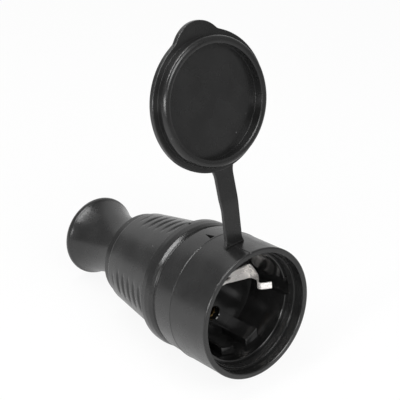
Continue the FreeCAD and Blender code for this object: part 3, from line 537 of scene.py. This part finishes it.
STRIP_THICKNESS, STRIP_EDGE, STRIP_STEP = 0.8, 0.14, 0.7
STRIP_ARM = [(0, -24.9), (18.85, -24.9, 1.6), (18.85, -20.6, 2.2), (14.25, -15.3, 1.3), (18.35, -12.3)]
BASE_WIDTH, BASE_SHIFT, BASE_LEVEL = 5.8, 1.3, -24.8
ARM_NARROWING, ARM_SHIFT = 3.2, 1.6
ARM_START, ARM_FADE = -24.3, 3.6
WAIST_NARROWING, WAIST_SHIFT = 2.3, 1.15
WAIST_END, WAIST_FADE = 17.5, 11
SLOT_Y, SLOT_HALF, SLOT_X, SLOT_Z = 7.8, 1.2, (1.6, 2.9), (-26, -24)
CREASE_Y, CREASE_HALF, CREASE_X, CREASE_Z = 17.9, 0.15, (-2.5, 5.0), (-24.7, -23.5)


def fade(value, start, length):
    """A share that grows from 0 at the start to 1 after the length, and stays there."""
    return min(max((value - start) / length, 0), 1)


def plate_section(width, thickness, edge):
    return round_corners([(-width / 2, -thickness / 2, edge), (width / 2, -thickness / 2, edge),
                          (width / 2, thickness / 2, edge), (-width / 2, thickness / 2, edge)],
                         guard=0.05, steps=3)


def swept(bm, path, thickness, edge):
    """Sweep a rounded strip along (y, z, width, x) rows."""
    rings = []
    for index, (y, z, width, x) in enumerate(path):
        before, after = path[max(index - 1, 0)], path[min(index + 1, len(path) - 1)]
        along = unit(np.array([after[0] - before[0], after[1] - before[1]]))
        rings.append([(x + across, y + deep * along[1], z - deep * along[0])
                      for across, deep in plate_section(width, thickness, edge)])
    add_rings(bm, rings, capped=True)


def strip_path():
    """The strip's rows: a base with a waist in its middle, and arms that narrow as they rise."""
    half = round_corners(STRIP_ARM, closed=False, steps=12, guard=0.3)
    path = []
    for reach, z in even_steps(half, STRIP_STEP, closed=False):
        arm = fade(z, ARM_START, ARM_FADE)
        waist = fade(-reach, -WAIST_END, WAIST_FADE) if z < BASE_LEVEL else 0
        path.append((reach, z, BASE_WIDTH - ARM_NARROWING * arm - WAIST_NARROWING * waist,
                     BASE_SHIFT - ARM_SHIFT * arm + WAIST_SHIFT * waist))
    return [(-y, z, width, x) for y, z, width, x in path[:0:-1]] + path


def make_strip():
    bm, tool = bmesh.new(), bmesh.new()
    swept(bm, strip_path(), STRIP_THICKNESS, STRIP_EDGE)
    for middle, half, xs, zs in ((SLOT_Y, SLOT_HALF, SLOT_X, SLOT_Z),
                                 (CREASE_Y, CREASE_HALF, CREASE_X, CREASE_Z)):
        for y in (middle, -middle):
            box_tool(tool, (xs[0], y - half, zs[0]), (xs[1], y + half, zs[1]))
    return finish_piece("earth_clip", cut_away(bm, tool), REST @ Matrix.Rotation(math.pi / 2, 4, "Z"), NICKEL)


strip = make_strip()
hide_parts("earth_strip")

# Strap: a lower piece across the root fold, and an upper one whose lean turns at the middle fold

STRAP_THICKNESS, STRAP_EDGE, STRAP_STEP = 1.6, 0.32, 0.35
STRAP_DROP = 0.95  # from the root fold back to the strap's middle line
STRAP_WIDTH, STRAP_SHIFT = 7.3, 0.3
KINK_START, KINK_WIDENING, KINK_SHIFT = 13.0, 0.5, 0.2
FLARE, ROOT_FLARE = 1.1, 2.2
NECK_FLARE_START, NECK_FLARE = 25.5, 2.8
STRAP_START, STRAP_JOIN, STRAP_END = -1.4, 7.7, 29.4
ROOT_WIDTHS = (8.8, 8.6)
BEAD_Y, BEAD_Z, BEAD_SIDES = 25.3, -9.4, 12
BEAD_ENDS = ((-4.2, 0.15), (-4.1, 0.3), (4.1, 0.3), (4.2, 0.15))  # (x, radius)


def strap_path(start, finish):
    """(y, z, width, x) rows of the strap's middle line; distances run from the root fold."""
    rows, spot, here = [], np.array([FOLD_Y, FOLD_Z - STRAP_DROP]), 0.0
    if start < 0:
        rows = [(spot[0] + back, spot[1], width, STRAP_SHIFT)
                for back, width in zip((start, start / 2), ROOT_WIDTHS)]
    while here < finish + 1e-6:
        share = fade(here, KINK_START, 2 * (LINK - KINK_START))
        lean = STRAP_LEAN + (CAP_LEAN - STRAP_LEAN) * share * share * (3 - 2 * share)
        width = (STRAP_WIDTH + KINK_WIDENING * share + FLARE * max(0, 1 - here / ROOT_FLARE) ** 2
                 + FLARE * fade(here, NECK_FLARE_START, NECK_FLARE) ** 2)
        if here >= start - 1e-6:
            rows.append((spot[0], spot[1], width, STRAP_SHIFT - KINK_SHIFT * share))
        spot = spot + np.array([math.cos(lean), -math.sin(lean)]) * STRAP_STEP
        here += STRAP_STEP
    return rows


def make_strap(name, start, finish):
    """A length of the strap; the one that starts behind the root fold has a small bead in its corner."""
    bm = bmesh.new()
    swept(bm, strap_path(start, finish), STRAP_THICKNESS, STRAP_EDGE)
    if start < 0:
        turns = np.arange(BEAD_SIDES) * 2 * math.pi / BEAD_SIDES
        add_rings(bm, [[(x, BEAD_Y + radius * math.cos(turn), BEAD_Z + radius * math.sin(turn))
                        for turn in turns] for x, radius in BEAD_ENDS], capped=True)
    return finish_piece(name, bm, REST, CAP_RUBBER_SHADED)


strap_low = make_strap("strap_root", STRAP_START, STRAP_JOIN)
strap_high = make_strap("strap_fold", STRAP_JOIN, STRAP_END)
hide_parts("cap_strap")
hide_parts("cap_strap")

# Cap: a disc with a bead that goes into the mouth, and a flange with a thumb tab

FLANGE_RADIUS, BEAD_INNER, BEAD_OUTER = 24.6, 19.9, 22.65
CAP = round_corners([
    (0.02, 0), (BEAD_INNER, 0, 0.1), (BEAD_INNER, 3.4, 0.1), (20.4, 3.65), (21.0, 3.72),
    *arc((21.1, 3.72), (BEAD_OUTER, 2.17), 1.55, -1), (BEAD_OUTER, 2.17), (BEAD_OUTER, 0, 0.08),
    (FLANGE_RADIUS, 0, 0.35), (FLANGE_RADIUS, -2.2, 0.7), (0.02, -2.2)], steps=7)
EDGE_RADIUS, EDGE_INSET = 24.85, 0.12
EDGE_START, EDGE_FADE = 23.0, 1.1  # the outline follows the cap's edge from this radius on
TAB_CENTRE, TAB_RADIUS, TAB_TURN, TAB_SOFTNESS = 17.6, 10.7, math.radians(2), 0.3
TAB_DEGREES = np.arange(-27, 27.1, 0.5)


def cap_edge(angles):
    """Radius of the cap's edge with its thumb tab, at angles from the tab."""
    angles = angles + TAB_TURN
    across = TAB_CENTRE * np.sin(angles)
    beyond = np.sqrt(np.maximum(TAB_RADIUS ** 2 - across ** 2, 0))
    on_tab = (np.abs(across) < TAB_RADIUS) & (np.cos(angles) > 0)
    tab = np.where(on_tab, TAB_CENTRE * np.cos(angles) + beyond, 0)
    return (EDGE_RADIUS + tab + np.sqrt((EDGE_RADIUS - tab) ** 2 + TAB_SOFTNESS)) / 2 - EDGE_INSET


def cap_shape(radii, heights, angles):
    """Move the flange out to the cap's edge, and leave what is inside it."""
    return radii + (cap_edge(angles) - FLANGE_RADIUS) * fade(radii[0], EDGE_START, EDGE_FADE), heights


cap = turned_piece("cap_shell", even_steps(CAP, 0.8), CAP_RUBBER_SHADED, angle_steps(ROUND_STEPS, TAB_DEGREES),
                   cap_shape, place=CAP_REST)
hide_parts("cap")

# Inner pieces keep their CAD shape

for material, nodes in (
        (CARRIER, ("terminal_carrier", "cord_clamp_saddle", "cord_clamp_bar", "thrust_washer")),
        (BRASS, ("live_contact", "neutral_contact", "earth_terminal")),
        (STEEL, ("live_contact_spring", "neutral_contact_spring", "live_terminal_screw",
                 "neutral_terminal_screw", "earth_terminal_screw", "carrier_screws", "cord_clamp_screws")),
        (RUBBER, ("cable_seal",))):
    for node in nodes:
        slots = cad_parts[node].data.materials
        for index in range(len(slots)):
            slots[index] = material

# Bodies

for piece in (sleeve, collar, barrel, insert, strip):
    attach(piece, "housing")
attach(cap, "cap")
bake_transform(strap_low)
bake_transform(strap_high)

# Floor, light and camera

FLOOR_RADIUS, FLOOR_GREY, FLOOR_ROUGH = 4, 0.8, 0.9
GLOW_SEEN, GLOW_REFLECTED = 0.9, 0.5  # how much of the floor glows to the camera and in reflections
GLOW_ALONG, GLOW_SPAN, GLOW_LEVELS = (0.7, -0.7, 0), (-0.02, 0.16), (1, 0.35)
BRIGHT_FADE = (0.72, 0.84)  # cosines between which the studio's bright side begins
LAMP_AIM = Vector((0, 0, 0.05))
SENSOR, LENS, CLIP = 36, 112.1, (0.01, 10)


def make_floor():
    """A pale disc that partly glows: evenly to the camera, and less towards one side in reflections."""
    bm = bmesh.new()
    bmesh.ops.create_circle(bm, cap_ends=True, segments=96, radius=FLOOR_RADIUS)
    floor = add_mesh("floor", bm)
    material = bpy.data.materials.new("floor_white")
    material.use_nodes = True
    tree = material.node_tree
    links, shader = tree.links, tree.nodes["Principled BSDF"]
    shader.inputs["Base Color"].default_value = (*grey(FLOOR_GREY), 1)
    shader.inputs["Roughness"].default_value = FLOOR_ROUGH
    shader.inputs["Specular IOR Level"].default_value = 0.0
    path, place, glow, mixed = (
        add_node(tree, kind) for kind in ("LightPath", "TexCoord", "Emission", "MixShader"))
    seen, part, strength = (add_node(tree, "Math") for _ in range(3))
    across, fading = add_node(tree, "VectorMath"), add_node(tree, "MapRange")
    seen.operation, seen.inputs[1].default_value = "MULTIPLY", GLOW_SEEN
    part.operation, part.inputs[1].default_value = "MULTIPLY_ADD", GLOW_REFLECTED
    links.new(path.outputs["Is Camera Ray"], seen.inputs[0])
    links.new(path.outputs["Is Glossy Ray"], part.inputs[0])
    links.new(seen.outputs[0], part.inputs[2])
    links.new(part.outputs[0], mixed.inputs["Fac"])
    across.operation, across.inputs[1].default_value = "DOT_PRODUCT", GLOW_ALONG
    set_range(fading, GLOW_SPAN, GLOW_LEVELS)
    strength.operation = "MAXIMUM"
    links.new(place.outputs["Object"], across.inputs[0])
    links.new(across.outputs["Value"], fading.inputs["Value"])
    links.new(fading.outputs["Result"], strength.inputs[0])
    links.new(path.outputs["Is Camera Ray"], strength.inputs[1])
    links.new(strength.outputs[0], glow.inputs["Strength"])
    links.new(shader.outputs[0], mixed.inputs[1])
    links.new(glow.outputs[0], mixed.inputs[2])
    links.new(mixed.outputs[0], tree.nodes["Material Output"].inputs["Surface"])
    floor.data.materials.append(material)


def make_world(studio, dim, bright, bright_side):
    """White to the camera, and a grey studio to the object, which in reflections is brighter on one side."""
    world = bpy.data.worlds.new("studio")
    bpy.context.scene.world = world
    world.use_nodes = True
    tree = world.node_tree
    links, background = tree.links, tree.nodes["Background"]
    background.inputs["Color"].default_value = (1, 1, 1, 1)
    path, place, facing, level, gloss, seen = (add_node(tree, kind) for kind in (
        "LightPath", "TexCoord", "VectorMath", "MapRange", "MapRange", "Math"))
    facing.operation, facing.inputs[1].default_value = "DOT_PRODUCT", Vector(bright_side).normalized()
    links.new(place.outputs["Generated"], facing.inputs[0])
    level.interpolation_type = "SMOOTHSTEP"
    set_range(level, BRIGHT_FADE, (dim, bright))
    links.new(facing.outputs["Value"], level.inputs["Value"])
    gloss.inputs["To Min"].default_value = studio
    links.new(path.outputs["Is Glossy Ray"], gloss.inputs["Value"])
    links.new(level.outputs["Result"], gloss.inputs["To Max"])
    seen.operation = "MAXIMUM"
    links.new(path.outputs["Is Camera Ray"], seen.inputs[0])
    links.new(gloss.outputs["Result"], seen.inputs[1])
    links.new(seen.outputs[0], background.inputs["Strength"])


def add_lamp(name, toward, along, distance, size, power):
    """An area lamp that shines at the object from a direction, its longer side near another direction."""
    light = bpy.data.lights.new(name, "AREA")
    light.shape, light.size, light.size_y, light.energy = "RECTANGLE", size[0], size[1], power
    lamp = add_object(name, light)
    away = Vector(toward).normalized()
    side = (Vector(along) - away * away.dot(Vector(along))).normalized()
    lamp.matrix_world = Matrix.Translation(LAMP_AIM + away * distance) @ Matrix(
        (side, away.cross(side), away)).transposed().to_4x4()


def make_camera(spot, look, up):
    """The scene's camera, placed and aimed in the connector's own frame."""
    data = bpy.data.cameras.new("camera")
    data.sensor_width, data.lens = SENSOR, LENS
    data.clip_start, data.clip_end = CLIP
    camera = add_object("camera", data)
    turn = REST.to_3x3()
    back = -(turn @ Vector(look)).normalized()
    right = (turn @ Vector(up)).cross(back).normalized()
    camera.matrix_world = Matrix.Translation(row_point(spot)) @ Matrix(
        (right, back.cross(right), back)).transposed().to_4x4()
    bpy.context.scene.camera = camera


make_floor()
make_world(studio=0.25, dim=0.35, bright=0.9, bright_side=(0.52, 0.78, 0.22))
add_lamp("top", toward=(-0.33, 0.15, 0.93), along=(1, 0.1, 0), distance=0.9, size=(0.8, 0.1), power=5)
add_lamp("front", toward=(-0.05, -0.7, 0.7), along=(1, 0, 0), distance=1.0, size=(0.5, 0.5), power=5.5)
add_lamp("left", toward=(-0.82, -0.5, 0.36), along=(0.5, -0.85, 0), distance=1.0, size=(0.9, 0.17), power=6.5)
make_camera(spot=(-248.3, 227.5, 295.7), look=(0.5527, -0.4234, -0.718), up=(0.337, 0.901, -0.272))

bpy.context.scene.view_settings.view_transform = "Standard"
bpy.context.view_layer.update()
